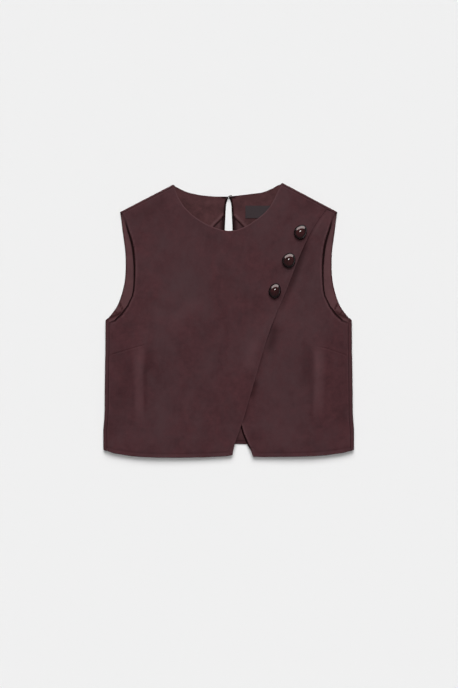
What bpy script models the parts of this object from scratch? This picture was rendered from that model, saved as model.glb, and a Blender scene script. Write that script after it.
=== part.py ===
"""A cropped sleeveless leather vest with a wrap front and three pebble buttons, laid on its back.

The back lies on the floor and rolls over to the front at the shoulders and the sides, where the seams
are. The two fronts lie over it, one across the other. Sizes are in millimetres, and a mesh is scaled to
metres as it is made. "across" runs from the centre line, plus to the right as seen from above, "up"
runs from the middle of the vest towards the neck, and height is above the floor.
"""

import math
from collections import namedtuple

import bmesh
import bpy
from mathutils import Vector

MM = 0.001

# Walls
WALL = 1.6
LINING_WALL = 1.0
SEAM_GAP = 0.3
LAYER_GAP = 0.5

# Heights of the top surface above the floor
SIDE_HEIGHT = 10.0
SHOULDER_HEIGHT = 8.4
SHOULDER_SLOPE = 55.0
SIDE_SLOPE = 26.0

# Where the back rolls over to the front, and how far its side goes on inward to the side seam
SIDE_ROLL = SIDE_HEIGHT / 2
SHOULDER_ROLL = SHOULDER_HEIGHT / 2
SIDE_FLAP = 2.0
ROLL_STEPS = 6

Point = namedtuple("Point", "across up")
SidePoint = namedtuple("SidePoint", "up half_width")
Fold = namedtuple("Fold", "across up half_width half_length lean rise")
Lift = namedtuple("Lift", "up half_length rise drop")
Pebble = namedtuple("Pebble", "name across up width length lobe lobe_angle tilt")

SHOULDER_TIP = Point(195.3, 194.6)
NECK_POINT = {-1: Point(99.8, 244.0), 1: Point(96.6, 247.0)}
# How far the edges run past the shoulder's ends at the start, middle and end of its roll
NECK_RUN = (1.9, 0.0, -0.4)
TIP_RUN = (-1.4, 0.0, 2.4)

# Half of the outline at the sides, from the underarm to the hem
SIDE = (
    SidePoint(0.0, 221.4),
    SidePoint(-54.0, 221.6),
    SidePoint(-72.0, 222.1),
    SidePoint(-126.0, 222.8),
    SidePoint(-162.0, 223.1),
    SidePoint(-180.0, 223.9),
    SidePoint(-198.0, 225.4),
    SidePoint(-236.0, 225.3),
)

BACK_ARMHOLE = (
    Point(190.6, 158.0),
    Point(186.4, 127.0),
    Point(185.3, 101.0),
    Point(186.9, 71.6),
    Point(193.7, 42.8),
    Point(203.0, 21.5),
)
FRONT_ARMHOLE = (
    Point(184.0, 174.0),
    Point(177.0, 154.0),
    Point(171.3, 131.0),
    Point(168.0, 98.0),
    Point(168.3, 64.0),
    Point(171.5, 43.0),
    Point(180.0, 25.0),
    Point(192.0, 9.5),
    Point(204.0, -1.4),
)
UNDERARM = Point(214.2, -3.9)

BACK_NECKLINE = {
    -1: (Point(20.0, 222.6), Point(50.0, 225.1), Point(75.3, 230.9), Point(88.5, 236.9)),
    1: (Point(26.2, 225.6), Point(62.2, 230.5), Point(78.6, 237.2), Point(88.0, 242.6)),
}
BACK_NECK_CENTRE = 222.6
FRONT_NECKLINE = (
    Point(-91.7, 223.4),
    Point(-80.2, 203.8),
    Point(-67.1, 190.6),
    Point(-47.0, 176.2),
    Point(-23.0, 165.2),
    Point(0.0, 160.2),
    Point(24.6, 165.4),
    Point(52.3, 182.5),
    Point(73.5, 202.6),
    Point(88.0, 231.0),
)

# The slit below the nape: half widths down to its round end
KEYHOLE = (Point(3.6, 213.6), Point(4.9, 205.5), Point(5.9, 186.0), Point(7.0, 162.0), Point(6.2, 149.0))
KEYHOLE_END = 141.0
KEYHOLE_TOP_GAP = 0.5

BACK_HEM = (Point(216.5, -231.4), Point(150.0, -227.0), Point(75.0, -223.8), Point(0.0, -222.7))
FRONT_HEM = {
    -1: (
        Point(205.0, -239.2),
        Point(175.0, -244.1),
        Point(140.0, -246.4),
        Point(90.0, -247.0),
        Point(45.6, -246.4),
    ),
    1: (
        Point(205.0, -238.3),
        Point(175.0, -242.6),
        Point(140.0, -244.8),
        Point(90.0, -245.7),
        Point(44.2, -245.8),
    ),
}
HEM_CORNER_UP = -234.8

# The slanting edge of the front that lies on top, from the hem to the shoulder
OVERLAP_EDGE = (
    Point(6.8, -242.3),
    Point(11.1, -221.6),
    Point(26.6, -176.9),
    Point(48.2, -102.8),
    Point(66.5, -40.0),
    Point(80.9, 0.5),
    Point(104.2, 55.0),
    Point(125.9, 111.8),
    Point(149.0, 160.9),
)
OVERLAP_SHOULDER = 20.0
OVERLAP_HEM_END = (Point(-24.6, -245.4), Point(-4.0, -244.2))

# The edge of the front beneath it, hidden above the notch in the hem
UNDERLAP_EDGE = (
    Point(-45.0, 170.0),
    Point(-36.0, 110.0),
    Point(-18.0, 20.0),
    Point(3.0, -90.0),
    Point(23.1, -186.7),
    Point(36.0, -221.8),
    Point(43.6, -245.2),
)
UNDERLAP_NECK_INSET = 2.6

# Inside the back
FACING_INSET = 1.2
FACING_EDGE = (
    Point(7.4, 187.5),
    Point(26.4, 168.4),
    Point(75.0, 122.0),
    Point(130.0, 68.0),
    Point(163.0, 34.0),
    Point(178.0, 10.0),
    Point(196.0, -7.0),
    Point(216.1, -14.0),
)
LINING_HEM_INSET = 6.0

LABEL_CENTRE = Point(57.2, 194.8)
LABEL_WIDTH = 54.0
LABEL_LENGTH = 22.4

# Soft bulges and troughs of the fronts: middle, half sizes, lean in degrees, and rise
FOLDS = (
    Fold(-132.0, -45.0, 52.0, 68.0, 0.0, 6.0),
    Fold(140.0, -48.0, 46.0, 66.0, 0.0, 6.0),
    Fold(-159.0, -92.0, 9.5, 52.0, -3.0, 3.2),
    Fold(159.0, -96.0, 10.5, 58.0, 3.0, 3.4),
    Fold(-139.0, -82.0, 9.0, 36.0, -4.0, -2.4),
    Fold(141.0, -102.0, 9.0, 40.0, 4.0, -2.6),
    Fold(-62.0, 78.0, 60.0, 70.0, 0.0, 1.6),
    Fold(8.0, 158.0, 84.0, 62.0, 0.0, 1.5),
    Fold(22.0, -205.0, 74.0, 80.0, 0.0, -1.4),
    Fold(-120.0, -212.0, 34.0, 46.0, 8.0, 1.4),
    Fold(128.0, -208.0, 30.0, 48.0, -6.0, 1.2),
)

# Where the slanting edge stands up and the front beneath sinks away from it
LIFTS = (
    Lift(105.0, 48.0, 0.8, 1.2),
    Lift(-14.0, 24.0, 1.6, 1.8),
    Lift(-128.0, 22.0, 0.8, 1.0),
    Lift(-214.0, 30.0, 0.6, 0.2),
)
LIFT_WIDTH = 9.0
UNDERLAP_RISE = 22.0
EDGE_COSINE = 0.92

GRID_ACROSS = 9.5
GRID_UP = 17.0

PEBBLES = (
    Pebble("button_top", 128.3, 157.0, 23.4, 28.0, 0.08, 82.0, -24.0),
    Pebble("button_middle", 107.6, 106.2, 24.6, 28.2, 0.07, 82.0, -16.0),
    Pebble("button_bottom", 82.6, 51.6, 22.6, 28.2, 0.06, 86.0, -12.0),
)
PEBBLE_PROFILE = (
    Point(0.0, 9.4),
    Point(0.3, 9.2),
    Point(0.6, 8.1),
    Point(0.83, 6.1),
    Point(0.96, 4.1),
    Point(1.0, 2.9),
    Point(0.95, 1.9),
    Point(0.78, 1.4),
    Point(0.28, 1.3),
    Point(0.26, 0.0),
    Point(0.0, 0.0),
)
PEBBLE_STEPS = 22

NAPE_CENTRE = Point(3.6, 221.6)
NAPE_BEAD = 1.7
NAPE_CORD = 0.55
NAPE_LOOP = 2.7
NAPE_ANCHOR = Point(-5.5, 218.6)

LEATHER = ((0.062, 0.030, 0.035), 0.62)
SATIN = ((0.070, 0.028, 0.033), 0.45)
LINING = ((0.045, 0.022, 0.026), 0.5)
LABEL = ((0.018, 0.018, 0.021), 0.7)
GLOSS = ((0.022, 0.006, 0.007), 0.12)
CORD = ((0.020, 0.010, 0.012), 0.6)


def clear_scene():
    for obj in list(bpy.data.objects):
        bpy.data.objects.remove(obj, do_unlink=True)


def material(name, look):
    colour, roughness = look
    made = bpy.data.materials.new(name)
    made.use_nodes = True
    shader = made.node_tree.nodes["Principled BSDF"]
    shader.inputs["Base Color"].default_value = (*colour, 1.0)
    shader.inputs["Roughness"].default_value = roughness
    shader.inputs["Metallic"].default_value = 0.0
    return made


def smoothstep(value):
    value = min(max(value, 0.0), 1.0)
    return value * value * (3.0 - 2.0 * value)


def mirrored(points, sign):
    return [Point(sign * point.across, point.up) for point in points]


def curve_through(points, step=14.0):
    """Points about a step apart on a smooth curve through the given ones."""
    ends = [points[0], *points, points[-1]]
    found = [Point(*points[0])]
    for before, start, end, after in zip(ends, ends[1:], ends[2:], ends[3:]):
        parts = max(1, round(math.dist(start, end) / step))
        for number in range(1, parts + 1):
            t = number / parts
            found.append(Point(*(hermite(a, b, c, d, t) for a, b, c, d in zip(before, start, end, after))))
    return found


def hermite(before, start, end, after, t):
    leave = (end - before) / 2
    arrive = (after - start) / 2
    return (
        start * (2 * t**3 - 3 * t**2 + 1)
        + leave * (t**3 - 2 * t**2 + t)
        + end * (3 * t**2 - 2 * t**3)
        + arrive * (t**3 - t**2)
    )


def inset(points, distance):
    """The points moved to the left of the way they run."""
    moved = []
    for number, point in enumerate(points):
        before = points[max(number - 1, 0)]
        after = points[min(number + 1, len(points) - 1)]
        along = Vector((after.across - before.across, after.up - before.up)).normalized()
        moved.append(Point(point.across - along.y * distance, point.up + along.x * distance))
    return moved


def side_at(up):
    """Half of the width of the outline at a height on the vest."""
    if up >= SIDE[0].up:
        return SIDE[0].half_width
    for above, below in zip(SIDE, SIDE[1:]):
        if up >= below.up:
            share = (above.up - up) / (above.up - below.up)
            return above.half_width + share * (below.half_width - above.half_width)
    return SIDE[-1].half_width


def shoulder_axes(sign):
    """The shoulder's tip, the way along it to the neck, the way out over it, and its length."""
    tip = Vector((sign * SHOULDER_TIP.across, SHOULDER_TIP.up))
    neck = Vector((sign * NECK_POINT[sign].across, NECK_POINT[sign].up))
    along = (neck - tip).normalized()
    out = Vector((-along.y, along.x)) * -sign
    return tip, along, out, (neck - tip).length


def shoulder_point(sign, run, out_by):
    """A point by its run from the tip along the shoulder and its distance out past the outline."""
    tip, along, out, _ = shoulder_axes(sign)
    place = tip + along * run + out * out_by
    return Point(place.x, place.y)


def roll(distance, radius):
    """A rolled wall's middle, a distance past the fold's start: how far out, how high, and its way out."""
    middle = radius - WALL / 2
    angle = min(max(distance / middle, 0.0), math.pi)
    beyond = max(distance - math.pi * middle, 0.0)
    before = min(distance, 0.0)
    reach = before + middle * math.sin(angle) - beyond
    return reach, radius - middle * math.cos(angle), math.sin(angle), -math.cos(angle)


def rolled_length(radius):
    return math.pi * (radius - WALL / 2)


SIDE_START = SIDE[0].half_width - SIDE_ROLL


def back_place(flat, outward):
    """A point of the flat cut, as it lies: the wall's middle, moved towards the back's outer face."""
    sign = -1 if flat.across < 0 else 1
    tip, along, out, _ = shoulder_axes(sign)
    from_tip = Vector(flat) - tip
    over_shoulder = from_tip.dot(out) + SHOULDER_ROLL
    if over_shoulder > 0 and flat.up > UNDERARM.up:
        reach, height, sideways, upward = roll(over_shoulder, SHOULDER_ROLL)
        spot = tip + along * from_tip.dot(along) + out * (reach - SHOULDER_ROLL + sideways * outward)
        return Vector((spot.x, spot.y, height + upward * outward))
    start = side_at(flat.up) - SIDE_ROLL
    over_side = abs(flat.across) - SIDE_START
    if over_side <= 0:
        return Vector((flat.across * start / SIDE_START, flat.up, WALL / 2 - outward))
    reach, height, sideways, upward = roll(over_side, SIDE_ROLL)
    return Vector((sign * (start + reach + sideways * outward), flat.up, height + upward * outward))


def bulge(across, up):
    """The rise of all soft folds at a place."""
    total = 0.0
    for fold in FOLDS:
        lean = math.radians(fold.lean)
        x = across - fold.across
        y = up - fold.up
        beside = (x * math.cos(lean) - y * math.sin(lean)) / fold.half_width
        along = (x * math.sin(lean) + y * math.cos(lean)) / fold.half_length
        total += fold.rise * math.exp(-(beside**2) - along**2)
    return total


def top_height(across, up):
    """The height of the vest's upper face over the floor, before the fronts' overlap."""
    sign = -1 if across < 0 else 1
    tip, _, out, _ = shoulder_axes(sign)
    below_shoulder = -(Vector((across, up)) - tip).dot(out) - SHOULDER_ROLL
    inside = side_at(up) - SIDE_ROLL - SIDE_FLAP - abs(across)
    raised = SIDE_HEIGHT + bulge(across, up) * smoothstep(inside / SIDE_SLOPE)
    return SHOULDER_HEIGHT + (raised - SHOULDER_HEIGHT) * smoothstep(below_shoulder / SHOULDER_SLOPE)


OVERLAP_LINE = curve_through(
    [*OVERLAP_EDGE, shoulder_point(1, OVERLAP_SHOULDER, -SHOULDER_ROLL - SEAM_GAP)]
)


def past_edge(across, up):
    """The distance to the right of the slanting edge."""
    line = OVERLAP_LINE
    for low, high in zip(line, line[1:]):
        if up <= high.up or high is line[-1]:
            share = (up - low.up) / (high.up - low.up)
            return (across - low.across - share * (high.across - low.across)) * EDGE_COSINE
    return 0.0


def edge_effect(up, column):
    total = 0.0
    for lift in LIFTS:
        total += getattr(lift, column) * math.exp(-(((up - lift.up) / lift.half_length) ** 2))
    return total


def overlap_top(flat):
    inward = min(past_edge(*flat), 0.0)
    lift = edge_effect(flat.up, "rise") * math.exp(-((inward / LIFT_WIDTH) ** 2))
    return top_height(*flat) + lift


def underlap_top(flat):
    outward = past_edge(*flat)
    beneath = (WALL + LAYER_GAP) * (1.0 - smoothstep(outward / UNDERLAP_RISE))
    valley = edge_effect(flat.up, "drop") * math.exp(-((max(outward, 0.0) / (1.4 * LIFT_WIDTH)) ** 2))
    return top_height(*flat) - beneath - valley * smoothstep((outward + LIFT_WIDTH) / LIFT_WIDTH)


def object_from(bm, name, look):
    """Makes the finished shape an object, in metres, with its faces pointing out."""
    bmesh.ops.recalc_face_normals(bm, faces=bm.faces)
    bmesh.ops.scale(bm, vec=(MM, MM, MM), verts=bm.verts)
    mesh = bpy.data.meshes.new(name)
    bm.to_mesh(mesh)
    bm.free()
    mesh.shade_smooth()
    mesh.set_sharp_from_angle(angle=math.radians(40))
    mesh.materials.append(look)
    obj = bpy.data.objects.new(name, mesh)
    bpy.context.scene.collection.objects.link(obj)
    return obj


def cut(bm, across, up, way):
    """Cuts the flat sheet along a straight line through a point, square to the way given."""
    everything = [*bm.verts, *bm.edges, *bm.faces]
    bmesh.ops.bisect_plane(bm, geom=everything, dist=1e-4, plane_co=(across, up, 0), plane_no=(*way, 0))


def sheet(name, outline, cuts, lower, upper, look):
    """A wall from its flat outline: cut into cells, doubled, and each face put in its place."""
    bm = bmesh.new()
    bm.faces.new([bm.verts.new((point.across, point.up, 0)) for point in outline])
    for across, up, way in cuts:
        cut(bm, across, up, way)
    bmesh.ops.remove_doubles(bm, verts=bm.verts, dist=0.35)
    bmesh.ops.triangulate(bm, faces=bm.faces)
    bottom = list(bm.verts)
    made = bmesh.ops.extrude_face_region(bm, geom=bm.faces[:])
    top = [item for item in made["geom"] if isinstance(item, bmesh.types.BMVert)]
    for vert in bottom:
        vert.co = lower(Point(vert.co.x, vert.co.y))
    for vert in top:
        vert.co = upper(Point(vert.co.x, vert.co.y))
    return object_from(bm, name, look)


def steps(low, high, step):
    count = math.ceil((high - low) / step)
    return [low + (high - low) * number / count for number in range(count + 1)]


def grid_cuts():
    """The cuts that both fronts share."""
    across = [(place, 0, (1, 0)) for place in steps(-209.0, 209.0, GRID_ACROSS)]
    up = [(0, place, (0, 1)) for place in steps(-238.0, 236.0, GRID_UP)]
    return across + up + side_cuts()


def side_cuts():
    return [(0, point.up, (0, 1)) for point in SIDE[1:-1]]


def back_cuts():
    """Cuts along the rolls, where the back bends."""
    cuts = side_cuts() + [(0, 40.0, (0, 1)), (0, 120.0, (0, 1))]
    for sign in (-1, 1):
        tip, _, out, _ = shoulder_axes(sign)
        for number in range(ROLL_STEPS + 1):
            side_run = SIDE_START + rolled_length(SIDE_ROLL) * number / ROLL_STEPS
            cuts.append((sign * side_run, 0, (1, 0)))
            over = rolled_length(SHOULDER_ROLL) * number / ROLL_STEPS - SHOULDER_ROLL
            spot = tip + out * over
            cuts.append((spot.x, spot.y, tuple(out)))
    return cuts


def keyhole_edge(sign, extra=0.0):
    """One side of the slit, from its round end up to just below the neckline."""
    end = Point(0.0, KEYHOLE_END)
    top = Point(KEYHOLE_TOP_GAP, BACK_NECK_CENTRE - 1.2)
    line = curve_through([end, *reversed(KEYHOLE), top], 8.0)
    if extra:
        line = inset(line, -extra)
        line[0] = Point(0.0, KEYHOLE_END - extra)
    return mirrored(line, sign)


def back_half(sign):
    """Half of the back's flat cut, from the slit's end round to the middle of the hem."""
    length = shoulder_axes(sign)[3]
    roll_out = rolled_length(SHOULDER_ROLL)
    ways = (0.0, roll_out / 2, roll_out)
    neck_end = [shoulder_point(sign, length + run, way - SHOULDER_ROLL) for run, way in zip(NECK_RUN, ways)]
    tip_end = [shoulder_point(sign, run, way - SHOULDER_ROLL) for run, way in zip(TIP_RUN, ways)]
    neckline = [Point(sign * KEYHOLE_TOP_GAP, BACK_NECK_CENTRE), *mirrored(BACK_NECKLINE[sign], sign)]
    side_roll = rolled_length(SIDE_ROLL)
    underarm = [
        Point(SIDE_START, 4.4),
        Point(SIDE_START + side_roll / 2, -0.4),
        Point(SIDE_START + side_roll, -3.4),
        Point(SIDE_START + side_roll + SIDE_FLAP, UNDERARM.up),
    ]
    hem_side = [
        Point(SIDE_START + side_roll + SIDE_FLAP, HEM_CORNER_UP),
        Point(SIDE_START + side_roll / 2, -232.6),
    ]
    armhole = curve_through([tip_end[0], *mirrored(BACK_ARMHOLE, sign), *mirrored(underarm[:1], sign)])
    return [
        *keyhole_edge(sign),
        *curve_through([*neckline, neck_end[0]]),
        *neck_end[1:],
        *reversed(tip_end[1:]),
        *armhole,
        *mirrored(underarm[1:], sign),
        *mirrored(hem_side, sign),
        *mirrored(curve_through(BACK_HEM, 36.0), sign),
    ]


def closed_outline(right, left):
    """Joins the halves at the centre line, where each has a point of its own."""
    return [*right, *reversed(left[1:-1])]


def make_back(look):
    outline = closed_outline(back_half(1), back_half(-1))

    def outer(flat):
        return back_place(flat, WALL / 2)

    def inner(flat):
        return back_place(flat, -WALL / 2)

    sheet("back_panel", outline, back_cuts(), outer, inner, look)


def inner_layer(name, outline, cuts, look):
    """A thin layer on the back's inner face."""
    low = -(WALL / 2 + SEAM_GAP)
    high = low - LINING_WALL
    return sheet(name, outline, cuts, lambda p: back_place(p, low), lambda p: back_place(p, high), look)


def facing_outline(sign):
    """Half of the neck and armhole facing, from the slit round to the armhole and back."""
    length = shoulder_axes(sign)[3]
    below = -SHOULDER_ROLL - SEAM_GAP
    slit = [p for p in keyhole_edge(1, FACING_INSET) if p.up > FACING_EDGE[0].up + 3.0]
    neck_start = Point(slit[-1].across + 0.3, BACK_NECK_CENTRE - FACING_INSET)
    neckline = inset(curve_through([neck_start, *BACK_NECKLINE[sign]]), -FACING_INSET)
    side = FACING_EDGE[-1].across
    armhole = inset(curve_through([SHOULDER_TIP, *BACK_ARMHOLE, Point(SIDE_START, 4.4)]), -FACING_INSET)
    armhole = [p for p in armhole if p.up < SHOULDER_TIP.up - 9.0 and p.across < side - 1.0]
    edge = [Point(side, 2.0), *reversed(curve_through(FACING_EDGE, 20.0))]
    neck_end = shoulder_point(sign, length - 0.5, below)
    tip_end = shoulder_point(sign, 0.6, below)
    return [
        *mirrored(slit, sign),
        *mirrored(neckline[1:], sign),
        neck_end,
        tip_end,
        *mirrored(armhole, sign),
        *mirrored(edge, sign),
    ]


def lining_half(sign):
    """Half of the lining's cut, from the slit's end round to the middle of its hem."""
    slit = [p for p in keyhole_edge(1, FACING_INSET) if p.up < FACING_EDGE[0].up - 3.0]
    edge = inset(curve_through(FACING_EDGE, 20.0), -SEAM_GAP)
    side = FACING_EDGE[-1].across
    corner = Point(side, edge[-1].up - SEAM_GAP)
    hem = [Point(min(p.across, side), p.up + LINING_HEM_INSET) for p in curve_through(BACK_HEM, 36.0)]
    return mirrored([*slit, *edge[:-1], corner, *hem], sign)


def make_inner_layers(satin, lining):
    for sign, name in ((-1, "back_facing_left"), (1, "back_facing_right")):
        inner_layer(name, facing_outline(sign), [], satin)
    outline = closed_outline(lining_half(1), lining_half(-1))
    inner_layer("back_lining", outline, side_cuts(), lining)


def side_seam(sign, step_up):
    """The front's side edge, from the underarm down to the hem."""
    ups = [UNDERARM.up, *(point.up for point in SIDE[1:-1]), HEM_CORNER_UP]
    inside = SIDE_ROLL + SIDE_FLAP + SEAM_GAP
    line = [Point(side_at(up) - inside, up) for up in ups]
    return mirrored(line if step_up < 0 else reversed(line), sign)


def armhole_front(sign):
    """The front's armhole edge, from the shoulder down to the underarm."""
    tip = shoulder_point(sign, TIP_RUN[-1] + SEAM_GAP, -SHOULDER_ROLL - SEAM_GAP)
    end = Point(side_at(UNDERARM.up) - SIDE_ROLL - SIDE_FLAP - SEAM_GAP, UNDERARM.up)
    return curve_through([tip, *mirrored(FRONT_ARMHOLE, sign), *mirrored([end], sign)])


def neck_ends():
    """Where the front neckline starts at the left and ends at the right shoulder seam."""
    ends = []
    for sign in (-1, 1):
        length = shoulder_axes(sign)[3]
        ends.append(shoulder_point(sign, length + NECK_RUN[-1], -SHOULDER_ROLL - SEAM_GAP))
    return ends


def front_neckline():
    left, right = neck_ends()
    return curve_through([left, *FRONT_NECKLINE, right])


def hem(sign, ends):
    """The front's hem, from the side seam towards the centre line."""
    corner = Point(side_at(HEM_CORNER_UP) - SIDE_ROLL - SIDE_FLAP - SEAM_GAP, HEM_CORNER_UP)
    return curve_through([*mirrored([corner, *FRONT_HEM[sign]], sign), *ends], 22.0)


def front_sheet(name, outline, top, look):
    def lower(flat):
        return Vector((flat.across, flat.up, top(flat) - WALL))

    def upper(flat):
        return Vector((flat.across, flat.up, top(flat)))

    return sheet(name, outline, grid_cuts(), lower, upper, look)


def make_overlap(look):
    """The front on top, from the left side to the slanting edge and both shoulders."""
    outline = [
        *armhole_front(-1),
        *side_seam(-1, -1)[1:],
        *hem(-1, [*OVERLAP_HEM_END, OVERLAP_EDGE[0]])[1:],
        *OVERLAP_LINE[1:],
        *reversed(front_neckline()),
    ]
    front_sheet("front_overlap", outline, overlap_top, look)


def make_underlap(look):
    """The front beneath, from the right side to its hidden edge and the right shoulder."""
    neckline = inset(front_neckline(), -UNDERLAP_NECK_INSET)
    neckline = [point for point in neckline if point.across > UNDERLAP_EDGE[0].across + 6.0]
    neck_end = shoulder_point(1, shoulder_axes(1)[3] - UNDERLAP_NECK_INSET, -SHOULDER_ROLL - SEAM_GAP)
    outline = [
        *reversed(neckline[:-1]),
        *curve_through(UNDERLAP_EDGE),
        *reversed(hem(1, [])[:-1]),
        *side_seam(1, 1)[1:-1],
        *reversed(armhole_front(1)),
        neck_end,
    ]
    front_sheet("front_underlap", outline, underlap_top, look)


def make_label(look):
    """A bare woven label sewn to the right facing."""
    low = WALL + SEAM_GAP + LINING_WALL + SEAM_GAP
    bm = bmesh.new()
    bmesh.ops.create_cube(bm, size=1.0)
    bmesh.ops.scale(bm, vec=(LABEL_WIDTH, LABEL_LENGTH, LINING_WALL), verts=bm.verts)
    centre = (LABEL_CENTRE.across, LABEL_CENTRE.up, low + LINING_WALL / 2)
    bmesh.ops.translate(bm, vec=centre, verts=bm.verts)
    object_from(bm, "neck_label", look)


def make_pebble(pebble, look):
    """A domed button on a short shank: a spun profile, pushed out to one side."""
    bm = bmesh.new()
    verts = [bm.verts.new((point.across, 0, point.up)) for point in PEBBLE_PROFILE]
    edges = [bm.edges.new(pair) for pair in zip(verts, verts[1:])]
    turn = {"axis": (0, 0, 1), "angle": math.tau, "steps": PEBBLE_STEPS, "use_merge": True}
    bmesh.ops.spin(bm, geom=[*verts, *edges], cent=(0, 0, 0), **turn)
    bmesh.ops.remove_doubles(bm, verts=bm.verts, dist=1e-4)
    tilt = math.radians(pebble.tilt)
    for vert in bm.verts:
        angle = math.atan2(vert.co.y, vert.co.x)
        reach = math.hypot(vert.co.x, vert.co.y)
        lobe = pebble.lobe * math.cos(angle - math.radians(pebble.lobe_angle)) * smoothstep(reach)
        corner = 0.035 * math.cos(3 * (angle - math.radians(pebble.lobe_angle)) + 0.6) * smoothstep(reach)
        x = vert.co.x * (1 + lobe + corner) * pebble.width / 2
        y = vert.co.y * (1 + lobe + corner) * pebble.length / 2
        vert.co.x = x * math.cos(tilt) - y * math.sin(tilt)
        vert.co.y = x * math.sin(tilt) + y * math.cos(tilt)
    seat = max(
        overlap_top(Point(pebble.across + x, pebble.up + y)) for x in (-4, 0, 4) for y in (-4, 0, 4)
    )
    bmesh.ops.translate(bm, vec=(pebble.across, pebble.up, seat + SEAM_GAP), verts=bm.verts)
    object_from(bm, pebble.name, look)


def make_nape(gloss, cord):
    """The bead that closes the slit, and the cord loop round it."""
    seat = WALL + SEAM_GAP + LINING_WALL + SEAM_GAP
    bm = bmesh.new()
    bmesh.ops.create_uvsphere(bm, u_segments=14, v_segments=8, radius=NAPE_BEAD)
    bmesh.ops.translate(bm, vec=(*NAPE_CENTRE, seat + NAPE_BEAD), verts=bm.verts)
    object_from(bm, "nape_button", gloss)

    leg = NAPE_CORD + SEAM_GAP / 2
    route = [Point(NAPE_ANCHOR.across, NAPE_ANCHOR.up - leg)]
    for number in range(11):
        angle = math.radians(-125 + 25 * number)
        across = NAPE_CENTRE.across + NAPE_LOOP * math.cos(angle)
        route.append(Point(across, NAPE_CENTRE.up + NAPE_LOOP * math.sin(angle)))
    route.append(Point(NAPE_ANCHOR.across, NAPE_ANCHOR.up + leg))
    curve = bpy.data.curves.new("nape_loop", "CURVE")
    curve.dimensions = "3D"
    curve.bevel_depth = NAPE_CORD * MM
    curve.bevel_resolution = 2
    curve.use_fill_caps = True
    spline = curve.splines.new("POLY")
    spline.points.add(len(route) - 1)
    for spot, point in zip(spline.points, route):
        spot.co = (point.across * MM, point.up * MM, (seat + NAPE_CORD) * MM, 1)
    curve.materials.append(cord)
    loop = bpy.data.objects.new("nape_loop", curve)
    bpy.context.scene.collection.objects.link(loop)


def main():
    clear_scene()
    leather = material("leather", LEATHER)
    satin = material("facing_satin", SATIN)
    lining = material("lining", LINING)
    label = material("label", LABEL)
    gloss = material("button_gloss", GLOSS)
    cord = material("loop_cord", CORD)
    make_back(leather)
    make_inner_layers(satin, lining)
    make_underlap(leather)
    make_overlap(leather)
    make_label(label)
    for pebble in PEBBLES:
        make_pebble(pebble, gloss)
    make_nape(gloss, cord)


main()
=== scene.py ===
import math

import bmesh
import bpy
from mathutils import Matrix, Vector, noise
from mathutils.bvhtree import BVHTree
from mathutils.kdtree import KDTree


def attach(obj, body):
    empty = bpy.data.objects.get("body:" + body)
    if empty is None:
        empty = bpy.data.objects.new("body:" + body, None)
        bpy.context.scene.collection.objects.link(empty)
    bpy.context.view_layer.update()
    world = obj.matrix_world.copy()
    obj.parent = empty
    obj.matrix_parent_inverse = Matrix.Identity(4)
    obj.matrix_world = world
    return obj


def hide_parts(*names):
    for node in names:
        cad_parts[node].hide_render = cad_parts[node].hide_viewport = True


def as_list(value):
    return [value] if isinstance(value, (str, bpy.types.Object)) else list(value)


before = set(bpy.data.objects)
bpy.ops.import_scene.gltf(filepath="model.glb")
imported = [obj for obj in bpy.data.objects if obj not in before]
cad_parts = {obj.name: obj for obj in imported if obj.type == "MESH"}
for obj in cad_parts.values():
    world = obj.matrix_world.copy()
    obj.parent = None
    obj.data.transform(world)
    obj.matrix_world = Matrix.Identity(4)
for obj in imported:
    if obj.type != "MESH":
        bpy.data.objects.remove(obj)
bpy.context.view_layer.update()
mm = 0.001


def say(text):
    print("vest:", text, flush=True)


# Curves and soft steps

def fade(value):
    value = min(max(value, 0.0), 1.0)
    return value * value * (3.0 - 2.0 * value)


def bell(value):
    return math.exp(-value * value)


def between(low, high, share):
    return low + (high - low) * share


def lineDistance(x, y, path):
    # Distance to a short path, and how far along it the nearest point is, from 0 to 1
    best, place = 1e9, 0.0
    lengths = [math.dist(a, b) for a, b in zip(path, path[1:])]
    done = 0.0
    for (ax, ay), (bx, by), length in zip(path, path[1:], lengths):
        share = ((x - ax) * (bx - ax) + (y - ay) * (by - ay)) / (length * length)
        share = min(max(share, 0.0), 1.0)
        away = math.hypot(x - between(ax, bx, share), y - between(ay, by, share))
        if away < best:
            best, place = away, (done + share * length) / sum(lengths)
        done += length
    return best, place


# Reading the frame

def mergedCopy(nodeName):
    bm = bmesh.new()
    bm.from_mesh(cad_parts[nodeName].data)
    bmesh.ops.remove_doubles(bm, verts=bm.verts, dist=1e-6)
    bm.normal_update()
    return bm


def upperFaces(bm):
    # The faces of a node's wall that look up
    return {face for face in bm.faces if face.normal.z > 0.6}


def rimOf(faces):
    # The corner points round a patch of faces, in order
    inside = set(faces)
    edges = [e for face in faces for e in face.edges if sum(f in inside for f in e.link_faces) == 1]
    links = {}
    for edge in edges:
        a, b = edge.verts
        links.setdefault(a, []).append(b)
        links.setdefault(b, []).append(a)
    start = max(links, key=lambda v: (v.co.y, v.co.x))
    walk, last = [start], None
    while True:
        onward = [v for v in links[walk[-1]] if v is not last]
        last = walk[-1]
        if not onward or onward[0] is start:
            return [v.co.copy() for v in walk]
        walk.append(onward[0])


def cornerAt(points, number, limit=0.5):
    # True where the outline turns sharply, so that it stays a corner
    a, b, c = points[number - 1], points[number], points[(number + 1) % len(points)]
    one, two = (b - a).to_2d(), (c - b).to_2d()
    if one.length < 1e-7 or two.length < 1e-7:
        return True
    return abs(one.angle_signed(two)) > limit


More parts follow.
